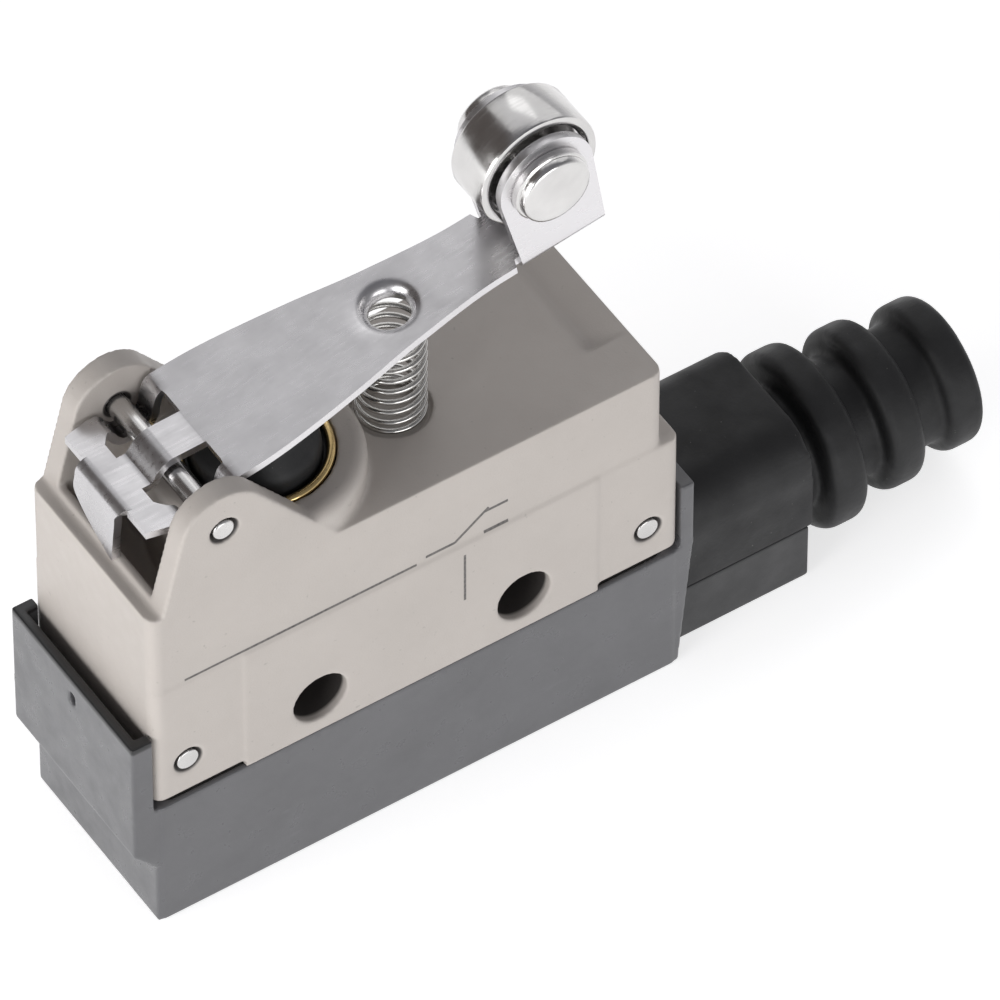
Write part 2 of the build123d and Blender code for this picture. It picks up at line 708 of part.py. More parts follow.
shell_left, shell_right, shell_top = -13.9, 8.3, 14.6
with BuildPart() as switch_cover:
    with BuildSketch(Plane.XY.offset(base_top)):
        with Locations(((shell_left + shell_right) / 2, 0)):
            Rectangle(shell_right - shell_left, 2 * switch_half)
    extrude(amount=shell_top - base_top)
    with BuildSketch(Plane.XY.offset(base_top)):
        with Locations(((shell_left + shell_right) / 2, 0)):
            Rectangle(shell_right - shell_left - 1.8, 2 * switch_half - 1.8)
    extrude(amount=shell_top - base_top - 1.0, mode=Mode.SUBTRACT)
    with BuildSketch(Plane.XY.offset(shell_top)):
        with Locations((plunger_x, 0)):
            Circle(1.28)
    extrude(amount=-1.5, mode=Mode.SUBTRACT)
save(switch_cover.part, "switch_cover")

with BuildPart() as switch_button:
    for radius, low_z, high_z in ((0.5, 11.08, 11.9), (1.2, 11.9, button_top)):
        with BuildSketch(Plane.XY.offset(low_z)):
            with Locations((plunger_x, 0)):
                Circle(radius)
        extrude(amount=high_z - low_z)
save(switch_button.part, "switch_button")

upper_plate, lower_plate = (11.95, 12.35), (base_top, base_top + 0.4)
terminals = {
    "com_terminal": [
        (-0.55, tab_low), (com_x[0], tab_low), (com_x[0], 11.6),
        (com_x[1], 11.6), (com_x[1], tab_high), (-0.55, tab_high),
    ],
    "no_terminal": [
        (4.75, tab_low), (no_x[0], tab_low), (no_x[0], lower_plate[1]), (4.9, lower_plate[1]),
        (4.9, lower_plate[0]), (no_x[1], lower_plate[0]), (no_x[1], tab_high), (4.75, tab_high),
    ],
    "nc_terminal": [
        (16.9, tab_low), (nc_x[0], tab_low), (nc_x[0], upper_plate[0]), (3.0, upper_plate[0]),
        (3.0, upper_plate[1]), (nc_x[1], upper_plate[1]), (nc_x[1], tab_high), (16.9, tab_high),
    ],
}
for (label, outline), screw_x in zip(terminals.items(), screw_holes_x):
    with BuildPart() as terminal:
        with BuildSketch(Plane.XZ):
            with BuildLine():
                Polyline(*outline, close=True)
            make_face()
        extrude(amount=strip_half, both=True)
        with BuildSketch(Plane.XY.offset(tab_low)):
            with Locations((screw_x, 0)):
                Circle(screw_clearance_r)
        extrude(amount=tab_high - tab_low, mode=Mode.SUBTRACT)
    save(terminal.part, label)

screw_head_low, washer_low = 1.35, 2.95
with BuildPart() as terminal_screws:
    for radius, low_z, high_z in ((2.0, screw_head_low, washer_low), (1.2, washer_low, 6.5)):
        with BuildSketch(Plane.XY.offset(low_z)):
            with Locations(*[(x, 0) for x in screw_holes_x]):
                Circle(radius)
        extrude(amount=high_z - low_z)
    with BuildSketch(Plane.XY.offset(screw_head_low)):
        with Locations(*[(x, 0) for x in screw_holes_x]):
            Rectangle(2.4, 0.5)
            Rectangle(0.5, 2.4)
    extrude(amount=0.8, mode=Mode.SUBTRACT)
save(terminal_screws.part, "terminal_screws")

with BuildPart() as terminal_washers:
    with BuildSketch(Plane.XY.offset(washer_low)):
        with Locations(*[(x, 0) for x in screw_holes_x]):
            Rectangle(3.9, 4.4)
            Circle(screw_clearance_r, mode=Mode.SUBTRACT)
    extrude(amount=tab_low - washer_low)
save(terminal_washers.part, "terminal_washers")

with BuildPart() as fixed_contacts:
    for low_z, high_z in ((lower_plate[1], 9.44), (11.48, upper_plate[0])):
        with BuildSketch(Plane.XY.offset(low_z)):
            with Locations((contact_x, 0)):
                Circle(0.85)
        extrude(amount=high_z - low_z)
save(fixed_contacts.part, "fixed_contacts")

with BuildPart() as snap_blade:
    with BuildSketch(Plane.XY.offset(blade_z - blade_thick / 2)):
        with Locations(((pivot_x + contact_x + 1) / 2, 0)):
            Rectangle(contact_x + 1 - pivot_x, 3.2)
        with Locations((contact_x, 0)):
            Circle(rivet_r, mode=Mode.SUBTRACT)
        with Locations((-2.6, -0.95), (-2.6, 0.95)):
            SlotOverall(7.5, 0.4, mode=Mode.SUBTRACT)
    extrude(amount=blade_thick)
save(snap_blade.part, "snap_blade")

with BuildPart() as moving_contact:
    with BuildSketch(Plane.XY.offset(blade_z)):
        with Locations((contact_x, 0)):
            Circle(rivet_r)
    extrude(amount=blade_thick / 2, both=True)
    for face_z in (blade_z - blade_thick / 2 - contact_thick, blade_z + blade_thick / 2):
        with BuildSketch(Plane.XY.offset(face_z)):
            with Locations((contact_x, 0)):
                Circle(0.8)
        extrude(amount=contact_thick)
save(moving_contact.part, "moving_contact")
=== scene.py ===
"""Finished looks of the roller-lever limit switch: detailed pieces, procedural materials, studio and camera.

Lengths are in millimetres until a mesh is made, and +X points to the cable boot, +Z up.
"""
import json
from math import acos, atan2, cos, pi, radians, sin, sqrt

import bmesh
import bpy
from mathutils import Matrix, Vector

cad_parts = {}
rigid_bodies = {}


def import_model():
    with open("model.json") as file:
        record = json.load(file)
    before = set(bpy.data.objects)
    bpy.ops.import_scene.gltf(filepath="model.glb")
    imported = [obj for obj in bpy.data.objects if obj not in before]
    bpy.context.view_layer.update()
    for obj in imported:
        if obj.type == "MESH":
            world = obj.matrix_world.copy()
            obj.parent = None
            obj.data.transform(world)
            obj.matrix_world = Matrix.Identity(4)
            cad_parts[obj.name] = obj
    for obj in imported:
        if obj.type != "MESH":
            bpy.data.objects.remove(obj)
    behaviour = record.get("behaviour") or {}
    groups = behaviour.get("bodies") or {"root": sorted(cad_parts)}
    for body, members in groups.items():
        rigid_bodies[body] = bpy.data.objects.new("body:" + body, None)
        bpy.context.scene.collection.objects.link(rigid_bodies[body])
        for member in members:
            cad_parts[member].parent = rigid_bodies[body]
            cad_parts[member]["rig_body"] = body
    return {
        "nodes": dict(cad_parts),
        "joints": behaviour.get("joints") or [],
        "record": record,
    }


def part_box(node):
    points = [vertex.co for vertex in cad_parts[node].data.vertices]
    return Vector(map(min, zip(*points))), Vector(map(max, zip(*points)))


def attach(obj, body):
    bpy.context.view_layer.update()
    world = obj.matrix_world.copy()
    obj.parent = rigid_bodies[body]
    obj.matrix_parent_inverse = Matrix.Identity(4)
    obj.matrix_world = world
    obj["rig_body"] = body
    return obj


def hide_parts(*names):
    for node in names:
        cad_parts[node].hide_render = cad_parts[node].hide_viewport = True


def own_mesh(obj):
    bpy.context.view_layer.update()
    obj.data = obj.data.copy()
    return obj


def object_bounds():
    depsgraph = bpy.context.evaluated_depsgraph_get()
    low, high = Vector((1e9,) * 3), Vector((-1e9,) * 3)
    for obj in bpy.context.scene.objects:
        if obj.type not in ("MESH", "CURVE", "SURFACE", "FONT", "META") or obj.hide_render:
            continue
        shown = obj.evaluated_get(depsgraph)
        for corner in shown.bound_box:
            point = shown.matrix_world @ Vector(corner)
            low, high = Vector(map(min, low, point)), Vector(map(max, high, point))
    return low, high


MM = 0.001
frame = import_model()
cad_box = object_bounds()
joints = {joint["name"]: joint for joint in frame["joints"]}


def in_mm(point):
    return Vector(point) / MM


def cad_box_mm(node):
    low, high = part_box(node)
    return in_mm(low), in_mm(high)


pin = in_mm(joints["lever_hinge"]["pos_m"])
roller_axis = in_mm(joints["roller_spin"]["pos_m"])


# ================================================================ materials
class Finish:
    """A procedural material round one Principled shader, its pattern in millimetres of the row frame."""

    def __init__(self, name, color, roughness, metallic=0.0):
        self.material = bpy.data.materials.new(name)
        self.material.use_nodes = True
        self.tree = self.material.node_tree
        self.shader = next(n for n in self.tree.nodes if n.type == "BSDF_PRINCIPLED")
        self.color = color
        self.roughness = roughness
        self.shader.inputs["Base Color"].default_value = (*color, 1)
        self.shader.inputs["Roughness"].default_value = roughness
        self.shader.inputs["Metallic"].default_value = metallic
        self.place = self.scaled(self.node("ShaderNodeTexCoord").outputs["Object"], (1 / MM,) * 3)

    def node(self, kind, **values):
        made = self.tree.nodes.new(kind)
        for key, value in values.items():
            setattr(made, key, value)
        return made

    def link(self, source, target):
        self.tree.links.new(source, target)

    def scaled(self, vector, factors):
        made = self.node("ShaderNodeVectorMath", operation="MULTIPLY")
        self.link(vector, made.inputs[0])
        made.inputs[1].default_value = factors
        return made.outputs[0]

    def noise(self, per_mm, detail=3.0, stretch=(1, 1, 1), seed=0.0, distortion=0.0):
        """Noise with per_mm features to the millimetre, drawn out along an axis whose stretch is small."""
        made = self.node("ShaderNodeTexNoise", noise_dimensions="4D")
        self.link(self.scaled(self.place, stretch), made.inputs["Vector"])
        made.inputs["W"].default_value = seed
        made.inputs["Scale"].default_value = per_mm
        made.inputs["Detail"].default_value = detail
        made.inputs["Distortion"].default_value = distortion
        return made.outputs["Fac"]

    def span(self, value, low, high, from_low=0.3, from_high=0.7):
        """Map a value that lies between from_low and from_high to the span from low to high."""
        made = self.node("ShaderNodeMapRange")
        self.link(value, made.inputs["Value"])
        ends = (("From Min", from_low), ("From Max", from_high), ("To Min", low), ("To Max", high))
        for name, number in ends:
            made.inputs[name].default_value = number
        return made.outputs["Result"]

    def math(self, operation, a, b):
        made = self.node("ShaderNodeMath", operation=operation)
        for i, value in enumerate((a, b)):
            if isinstance(value, (int, float)):
                made.inputs[i].default_value = value
            else:
                self.link(value, made.inputs[i])
        return made.outputs[0]

    def tint(self, mask, other, under=None):
        """Blend the colour towards another one where the mask is 1."""
        made = self.node("ShaderNodeMix", data_type="RGBA")
        self.link(mask, made.inputs["Factor"])
        if under is None:
            made.inputs["A"].default_value = (*self.color, 1)
        else:
            self.link(under, made.inputs["A"])
        made.inputs["B"].default_value = (*other, 1)
        self.link(made.outputs["Result"], self.shader.inputs["Base Color"])
        return made.outputs["Result"]

    def rough(self, value):
        self.link(value, self.shader.inputs["Roughness"])

    def bump(self, height, depth_mm, under=None):
        made = self.node("ShaderNodeBump")
        made.inputs["Strength"].default_value = 1.0
        made.inputs["Distance"].default_value = depth_mm * MM
        self.link(height, made.inputs["Height"])
        if under is not None:
            self.link(under, made.inputs["Normal"])
        self.link(made.outputs["Normal"], self.shader.inputs["Normal"])
        return made.outputs["Normal"]


def lighter(color, factor):
    return tuple(min(1.0, c * factor) for c in color)


mounts = {mount["name"]: mount for mount in frame["record"]["mounts"]}
HOLE_PITCH = mounts["mounting_holes"]["dims"]["spacing_x_mm"]
HOLES_X = (-HOLE_PITCH / 2, HOLE_PITCH / 2)
retaining_low, retaining_high = cad_box_mm("retaining_pins")
RETAINING_R = (retaining_high.z - retaining_low.z) / 2
RETAINING_Z = retaining_low.z + RETAINING_R
PIN_PLACES = [
    (pin.x, pin.z),
    (retaining_low.x + RETAINING_R, RETAINING_Z),
    (retaining_high.x - RETAINING_R, RETAINING_Z),
]
PIN_SHADE_RING_R = 1.1  # the ring of painted shade round each pin's end, where pin and hole meet
BORE_SHADE_R = 2.22  # radius within which the wall of a mounting hole gets painted shade
FRONT_PRINT_Y = -7.7  # the print lies on faces in front of this
INK = (0.055, 0.05, 0.05)
# painted shade: the near black colour of the mounting holes' walls and of the rings round the pins
PAINTED_HOLE_SHADE = (0.045, 0.04, 0.038)
# pen strokes on the front face, each from (x, z) to (x, z) with its width: the symbol of a changeover
# contact and two dividers
SYMBOL = [
    ((0.4, 9.3), (2.8, 9.3), 0.26),
    ((2.8, 9.3), (5.6, 11.3), 0.26),
    ((5.2, 11.05), (7.2, 11.05), 0.26),
    ((5.2, 8.95), (7.2, 8.95), 0.26),
    ((3.5, 7.7), (3.5, 2.9), 0.2),
    ((-19.5, 9.0), (-0.4, 9.0), 0.2),
]


def axis_distance(look, x, z):
    """Distance in millimetres from a line through x and z along Y."""
    flat = look.scaled(look.place, (1, 0, 1))
    made = look.node("ShaderNodeVectorMath", operation="DISTANCE")
    look.link(flat, made.inputs[0])
    made.inputs[1].default_value = (x, 0, z)
    return made.outputs["Value"]


def stroke(look, x_axis, z_axis, start, end, width):
    """1 within a straight pen stroke between two points of the front face, and 0 outside it."""
    (x0, z0), (x1, z1) = start, end
    length = sqrt((x1 - x0) ** 2 + (z1 - z0) ** 2)
    ux, uz = (x1 - x0) / length, (z1 - z0) / length
    along = look.math("ADD", look.math("MULTIPLY", x_axis, ux), look.math("MULTIPLY", z_axis, uz))
    across = look.math("ADD", look.math("MULTIPLY", x_axis, -uz), look.math("MULTIPLY", z_axis, ux))
    middle = ux * (x0 + x1) / 2 + uz * (z0 + z1) / 2
    near_middle = look.math("ABSOLUTE", look.math("SUBTRACT", along, middle), 0)
    near_line = look.math("ABSOLUTE", look.math("SUBTRACT", across, -uz * x0 + ux * z0), 0)
    within_length = look.span(near_middle, 1, 0, length / 2, length / 2 + 0.04)
    within_width = look.span(near_line, 1, 0, width / 2 - 0.03, width / 2 + 0.03)
    return look.math("MULTIPLY", within_length, within_width)


def case_masks(look):
    """Two masks: the print on the front, and painted shade on the walls of the mounting holes and in rings
    round the pins.
    """
    split = look.node("ShaderNodeSeparateXYZ")
    look.link(look.place, split.inputs[0])
    x_axis, y_axis, z_axis = (split.outputs[name] for name in "XYZ")
    ink = None
    for start, end, width in SYMBOL:
        line = stroke(look, x_axis, z_axis, start, end, width)
        ink = line if ink is None else look.math("MAXIMUM", ink, line)
    worn = look.math("MULTIPLY", ink, look.span(look.noise(4.0, 3, seed=12), 0.75, 1.0))
    front_only = look.math("MULTIPLY", worn, look.span(y_axis, 1, 0, FRONT_PRINT_Y, FRONT_PRINT_Y + 0.1))
    # painted shade on the walls of the mounting holes, full inside and fading out towards their mouths
    painted_shade_mask = None
    for x in HOLES_X:
        near = look.span(axis_distance(look, x, 0), 1, 0, BORE_SHADE_R, BORE_SHADE_R + 0.1)
        painted_shade_mask = near if painted_shade_mask is None else look.math("MAXIMUM", painted_shade_mask, near)
    all_painted_shade = look.math("MULTIPLY", painted_shade_mask, look.span(look.math("ABSOLUTE", y_axis, 0), 0, 1, 7.5, 7.2))
    # painted shade in a ring round each pin, on every face that the pin passes through
    for x, z in PIN_PLACES:
        ring = look.span(axis_distance(look, x, z), 1, 0, PIN_SHADE_RING_R, PIN_SHADE_RING_R + 0.14)
        all_painted_shade = look.math("MAXIMUM", all_painted_shade, ring)
    return front_only, all_painted_shade


def painted_casting(name, color):
    """Satin enamel over a fine-grained die casting, with faint clouds, a few specks of dust, print and
    painted shade.
    """
    color = (color[0] * 1.03, color[1] * 1.04, color[2] * 1.08)  # a little cooler than the record's
    look = Finish(name, color, 0.5)
    clouds = look.span(look.noise(0.12, 4), 0, 1)
    shade = look.tint(clouds, lighter(color, 0.93))
    specks = look.span(look.noise(2.6, 2, seed=4), 0, 0.5, 0.70, 0.76)
    shade = look.tint(specks, lighter(color, 0.62), shade)
    ink, painted_shade_mask = case_masks(look)
    # painted shade: the hole walls and the pin rings go near black
    shade = look.tint(painted_shade_mask, PAINTED_HOLE_SHADE, shade)
    look.tint(ink, INK, shade)
    look.rough(look.span(look.noise(0.9, 5, seed=2), 0.40, 0.56))
    grain = look.bump(look.noise(7.0, 4, seed=1), 0.012)
    look.bump(look.noise(1.1, 2, seed=3), 0.02, grain)
    look.shader.inputs["Specular IOR Level"].default_value = 0.45
    return look.material


def moulded_plastic(name, color, gloss=0.42, grain_depth=0.012, painted_shade_above=None):
    """Eroded mould texture with rubbed areas and pale scuffs, and painted shade, near black, above a height
    if one is given.
    """
    look = Finish(name, color, gloss)
    clouds = look.span(look.noise(0.2, 5, seed=1), 0, 1)
    shade = look.tint(clouds, lighter(color, 1.15))
    scuffs = look.span(look.noise(0.9, 6, stretch=(0.25, 1, 1), seed=7), 0, 0.4, 0.66, 0.74)
    shade = look.tint(scuffs, lighter(color, 1.6), shade)
    # painted shade: above the given height the colour goes near black
    if painted_shade_above is not None:
        split = look.node("ShaderNodeSeparateXYZ")
        look.link(look.place, split.inputs[0])
        above = look.span(split.outputs["Z"], 0, 1, painted_shade_above - 0.1, painted_shade_above + 0.1)
        look.tint(above, lighter(color, 0.2), shade)
    look.rough(look.span(look.noise(0.5, 5, seed=2), gloss - 0.07, gloss + 0.13))
    grain = look.bump(look.noise(9.0, 3, seed=3), grain_depth)
    look.bump(look.noise(0.7, 2, seed=5), 0.03, grain)
    return look.material


def moulded_rubber(name, color, bloom=1.9):
    """Matt rubber with a dry bloom, handling smudges and specks of dust."""
    look = Finish(name, color, 0.55)
    smudge = look.span(look.noise(0.28, 6, seed=3, distortion=0.6), 0, 0.7, 0.45, 0.75)
    shade = look.tint(smudge, lighter(color, bloom))
    dust = look.span(look.noise(3.2, 2, seed=9), 0, 0.5, 0.73, 0.78)
    look.tint(dust, (0.22, 0.22, 0.21), shade)
    look.rough(look.span(look.noise(0.35, 5, seed=5), 0.42, 0.66))
    grain = look.bump(look.noise(5.5, 4, seed=1), 0.014)
    look.bump(look.noise(0.5, 3, seed=2), 0.05, grain)
    look.shader.inputs["Specular IOR Level"].default_value = 0.35
    return look.material


def worked_metal(name, color, low_rough, high_rough, stretch, per_mm=6.0, depth=0.003, painted_side_highlight=False):
    """Metal with a drawn-out grain, faint stains and an uneven polish.

    Sheet can get a painted highlight: its faces that point along ±Y, the upright cheeks and the side
    edges, get a lighter colour than its flat faces.
    """
    look = Finish(name, color, low_rough, 1.0)
    stains = look.span(look.noise(0.35, 5, seed=2), 0, 1)
    shade = look.tint(stains, lighter(color, 0.86))
    # painted highlight: faces that point along ±Y are coloured lighter
    if painted_side_highlight:
        facing = look.node("ShaderNodeSeparateXYZ")
        look.link(look.node("ShaderNodeNewGeometry").outputs["Normal"], facing.inputs[0])
        painted_side_light = look.span(look.math("ABSOLUTE", facing.outputs["Y"], 0), 0, 1, 0.6, 0.9)
        look.tint(painted_side_light, lighter(color, 1.22), shade)
    lines = look.noise(per_mm, 3, stretch=stretch, seed=1)
    patches = look.noise(0.6, 4, seed=6)
    both = look.math("ADD", look.math("MULTIPLY", lines, 0.6), look.math("MULTIPLY", patches, 0.4))
    look.rough(look.span(both, low_rough, high_rough, 0.35, 0.65))
    scratches = look.bump(lines, depth)
    look.bump(look.noise(0.45, 2, seed=8), 0.006, scratches)
    return look.material


def make_finishes():
    """One material for each slot of the record, with the slot's own colour or a shade of it."""
    colors = {m["slot"]: tuple(m["base_color"]) for m in frame["record"]["materials"]}
    along_x, along_y, ground, even = (0.06, 1, 1), (1, 0.06, 1), (0.08, 1, 0.08), (1, 1, 1)
    # slot: the least and the greatest roughness, the grain's stretch, its features to the mm and depth in mm
    metals = {
        "roller_steel": (0.12, 0.26, ground, 7.0, 0.002),
        "rivet_steel": (0.14, 0.26, even, 5.0, 0.003),
        "pin_steel": (0.16, 0.3, along_y, 8.0, 0.002),
        "spring_steel": (0.14, 0.26, even, 8.0, 0.002),
        "zinc_steel": (0.3, 0.45, even, 4.0, 0.004),
        "ring_brass": (0.12, 0.24, even, 6.0, 0.002),
        "bush_brass": (0.2, 0.35, even),
        "terminal_brass": (0.22, 0.36, along_x),
        "blade_copper": (0.2, 0.34, along_x),
        "contact_silver": (0.12, 0.22, even),
    }
    made = {slot: worked_metal(slot, colors[slot], *values) for slot, values in metals.items()}
    # the lever's sideways faces get a painted highlight
    made["lever_steel"] = worked_metal(
        "lever_steel", colors["lever_steel"], 0.24, 0.36, along_x, 4.0, 0.0012, painted_side_highlight=True
    )
    made["case_paint"] = painted_casting("case_enamel", colors["case_paint"])
    cover_top = cad_box_mm("bottom_cover")[1].z
    cover_color = lighter(colors["cover_plastic"], 0.74)
    # the cover's topmost faces get painted shade
    made["cover_plastic"] = moulded_plastic("cover_plastic", cover_color, 0.3, painted_shade_above=cover_top - 0.45)
    made["saddle_plastic"] = moulded_plastic("saddle_plastic", lighter(colors["saddle_plastic"], 0.42), 0.5)
    made["switch_resin"] = moulded_plastic("switch_resin", colors["switch_resin"], 0.36, 0.006)
    made["button_plastic"] = moulded_plastic("button_plastic", colors["button_plastic"], 0.35, 0.004)
    made["boot_rubber"] = moulded_rubber("boot_rubber", lighter(colors["boot_rubber"], 0.6))
    made["seal_rubber"] = moulded_rubber("seal_rubber", colors["seal_rubber"])
    made["diaphragm_rubber"] = moulded_rubber("diaphragm_rubber", colors["diaphragm_rubber"], 1.4)
    return made


finishes = make_finishes()
slot_of = {row["node"]: row["material_slot"] for row in frame["record"]["subparts"]}
for node_name, cad_object in frame["nodes"].items():
    cad_object.data.materials.clear()
    cad_object.data.materials.append(finishes[slot_of[node_name]])


# ================================================================ mesh helpers
def stand_for(obj, node):
    """The piece takes the place of a CAD node, and gets that node's body, material and slot."""
    slot = slot_of[node]
    obj.data.materials.clear()
    obj.data.materials.append(finishes[slot])
    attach(obj, frame["nodes"][node]["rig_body"])
    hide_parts(node)


def object_from(bm, name):
    mesh = bpy.data.meshes.new(name)
    bm.to_mesh(mesh)
    bm.free()
    for polygon in mesh.polygons:
        polygon.use_smooth = True
    obj = bpy.data.objects.new(name, mesh)
    bpy.context.scene.collection.objects.link(obj)
    return obj


def round_edges(obj, width, segments=3, angle=30, weighted=False):
    made = obj.modifiers.new("rounded_edges", "BEVEL")
    made.width = width * MM
    made.segments = segments
    made.limit_method = "WEIGHT" if weighted else "ANGLE"
    made.angle_limit = radians(angle)
    made.use_clamp_overlap = not weighted
    made.loop_slide = False
    made.harden_normals = True


def keep_flat(obj):
    made = obj.modifiers.new("flat_faces", "WEIGHTED_NORMAL")
    made.keep_sharp = True


def from_cad(node, name, width):
    """A copy of a CAD mesh with its facets merged and its edges rounded by width."""
    bm = bmesh.new()
    bm.from_mesh(frame["nodes"][node].data)
    bmesh.ops.remove_doubles(bm, verts=bm.verts, dist=0.002 * MM)
    bmesh.ops.dissolve_limit(bm, angle_limit=radians(0.4), verts=bm.verts, edges=bm.edges)
    weights = bm.edges.layers.float.new("bevel_weight_edge")
    for edge in bm.edges:
        if len(edge.link_faces) == 2 and edge.calc_face_angle(0) > radians(32):
            edge[weights] = 1.0
            edge.smooth = True
    obj = object_from(bm, name)
    round_edges(obj, width, 3, weighted=True)
    stand_for(obj, node)


def lathe(profile, centre, axis, segments, closed=False):
    """A bmesh of a profile of (radius, height) turned about a line through centre along Y or Z."""
    bm = bmesh.new()
    rings = []
    for radius, height in profile:
        ring = []
        for i in range(segments):
            a = 2 * pi * i / segments
            across, up = radius * cos(a), radius * sin(a)
            local = (across, height, up) if axis == "Y" else (across, up, height)
            ring.append(bm.verts.new((Vector(centre) + Vector(local)) * MM))
            if radius == 0:
                break
        rings.append(ring)
    pairs = list(zip(rings, rings[1:])) + ([(rings[-1], rings[0])] if closed else [])
    for a, b in pairs:
        for i in range(segments):
            j = (i + 1) % segments
            corners = [a[i % len(a)], a[j % len(a)], b[j % len(b)], b[i % len(b)]]
            unique = list(dict.fromkeys(corners))
            if len(unique) > 2:
                bm.faces.new(unique)
    bmesh.ops.recalc_face_normals(bm, faces=bm.faces)
    return bm


def mark_sharp(obj, angle):
    """Faces that meet at more than the angle keep a crisp line between them."""
    bm = bmesh.new()
    bm.from_mesh(obj.data)
    for edge in bm.edges:
        edge.smooth = len(edge.link_faces) != 2 or edge.calc_face_angle(0) < radians(angle)
    bm.to_mesh(obj.data)
    bm.free()


def add_grid(bm, rows):
    """Quads between rows of points in millimetres; doubled points are merged later."""
    made = [[bm.verts.new(Vector(p) * MM) for p in row] for row in rows]
    for a, b in zip(made, made[1:]):
        for i in range(len(a) - 1):
            bm.faces.new((a[i], a[i + 1], b[i + 1], b[i]))


def between(a, b, c, d, t):
    """The smooth curve through a, b, c and d, at the share t of the way from b to c."""
    bend, twist = 2 * a - 5 * b + 4 * c - d, 3 * b - a - 3 * c + d
    return 0.5 * (2 * b + (c - a) * t + bend * t * t + twist * t**3)


def through(points, pieces):
    """A smooth line through the points, with the given number of pieces between two of them."""
    ends = [points[0], *points, points[-1]]
    line = []
    for four in zip(ends, ends[1:], ends[2:], ends[3:]):
        for k in range(pieces):
            line.append(tuple(between(*values, k / pieces) for values in zip(*four)))
    return [*line, points[-1]]


def value_at(stations, x):
    """The smooth curve through stations of (x, y), read at x."""
    if x <= stations[0][0]:
        return stations[0][1]
    for (x0, y0), (x1, y1) in zip(stations, stations[1:]):
        if x <= x1:
            i = stations.index((x0, y0))
            before, after = stations[max(i - 1, 0)], stations[min(i + 2, len(stations) - 1)]
            slope0 = (y1 - before[1]) / (x1 - before[0]) if i else 0.0
            slope1 = (after[1] - y0) / (after[0] - x0) if i + 2 < len(stations) else 0.0
            t, h = (x - x0) / (x1 - x0), x1 - x0
            return (
                y0 * (2 * t**3 - 3 * t * t + 1) + h * slope0 * (t**3 - 2 * t * t + t)
                + y1 * (3 * t * t - 2 * t**3) + h * slope1 * (t**3 - t * t)
            )
    return stations[-1][1]


# ================================================================ case, cover, saddle, boot
TOP_Z = 16.5  # top of the case beside the plunger's tower
SCOOP_X = (16.3, 17.6, 20.2)  # left lip, bottom and right lip of the trough
SCOOP_Y = -3.3  # its front end
SCOOP_END = 0.25  # the length over which it reaches its depth there
SCOOP_DEPTH = 0.6
SCOOP_REACH = 0.9  # the surface moves, down to this depth below the top
SCOOP_FADE = 0.7  # height over which the movement grows to its full depth
SEAM_KEPT = 0.4  # nothing within this height of the seam is relaxed


def scoop(point):
    """Hollows a shallow trough into the right end of the case's top, open to the back."""
    x, y, z = point / MM
    if z < TOP_Z - SCOOP_REACH or x < SCOOP_X[0]:
        return point
    left, bottom, right = SCOOP_X
    fall = min(1, (x - left) / (bottom - left))
    rise = min(1, max(0, (right - x) / (right - bottom)))
    end = min(1, max(0, (y - SCOOP_Y) / SCOOP_END))
    depth = SCOOP_DEPTH * fall * fall * (3 - 2 * fall) * rise * end
    return Vector((x, y, z - depth * min(1, (z - TOP_Z + SCOOP_REACH) / SCOOP_FADE))) * MM


def moulded(node, name, voxel, relaxing, share, carve=None):
    """A CAD mesh remeshed finely and relaxed, so that its edges round and its corners fill as cast ones do.

    voxel is the remesh's size in millimetres, relaxing the number of smoothing rounds and share the part
    of the triangles that is kept. The seam between case and cover stays crisp, so that the two meet in a
    thin line.
    """
    seam_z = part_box("case")[0].z
    obj = bpy.data.objects.new(name, frame["nodes"][node].data.copy())
    bpy.context.scene.collection.objects.link(obj)
    weld = obj.modifiers.new("weld", "WELD")
    weld.merge_threshold = 0.002 * MM
    remesh = obj.modifiers.new("remesh", "REMESH")
    remesh.mode = "VOXEL"
    remesh.voxel_size = voxel * MM
    remesh.use_smooth_shade = True
    dense = bpy.data.meshes.new_from_object(obj.evaluated_get(bpy.context.evaluated_depsgraph_get()))
    obj.modifiers.clear()
    obj.data = dense
    if carve is not None:
        for vertex in dense.vertices:
            vertex.co = carve(vertex.co)
    soft = obj.vertex_groups.new(name="away_from_the_seam")
    soft.add([v.index for v in dense.vertices if abs(v.co.z - seam_z) > SEAM_KEPT * MM], 1.0, "REPLACE")
    relax = obj.modifiers.new("relax", "SMOOTH")
    relax.vertex_group = soft.name
    relax.factor = 0.5
    relax.iterations = relaxing
    thin = obj.modifiers.new("thin", "DECIMATE")
    thin.ratio = share
    keep_flat(obj)
    stand_for(obj, node)


moulded("case", "case_shell", voxel=0.15, relaxing=8, share=0.14, carve=scoop)
moulded("bottom_cover", "cover_shell", voxel=0.13, relaxing=4, share=0.2)
moulded("boot_saddle", "boot_saddle_shell", voxel=0.13, relaxing=5, share=0.3)
moulded("cable_boot", "cable_boot_rubber", voxel=0.2, relaxing=7, share=0.4)
from_cad("hinge_pin", "hinge_pin_turned", width=0.06)
from_cad("retaining_pins", "retaining_pins_turned", width=0.12)

# ================================================================ lever
SLOPE = radians(9)
SHEET = 0.65
PLATE_W = 1.255  # middle of the plate's sheet above the pin's axis
HINGE_HALF = 5.65
FORK_HALF = 2.95
HOLE_U = 18.9
WIDTHS = [(3.9, HINGE_HALF), (7.5, 5.45), (13.25, 4.68), (19.0, 3.7), (26.6, FORK_HALF)]
# shares of the half width: the inner edges of a side strap and of its root, and the middle strap's edge
STRAP_EDGE, ROOT_EDGE, MIDDLE_EDGE = 0.69, 0.545, 0.292
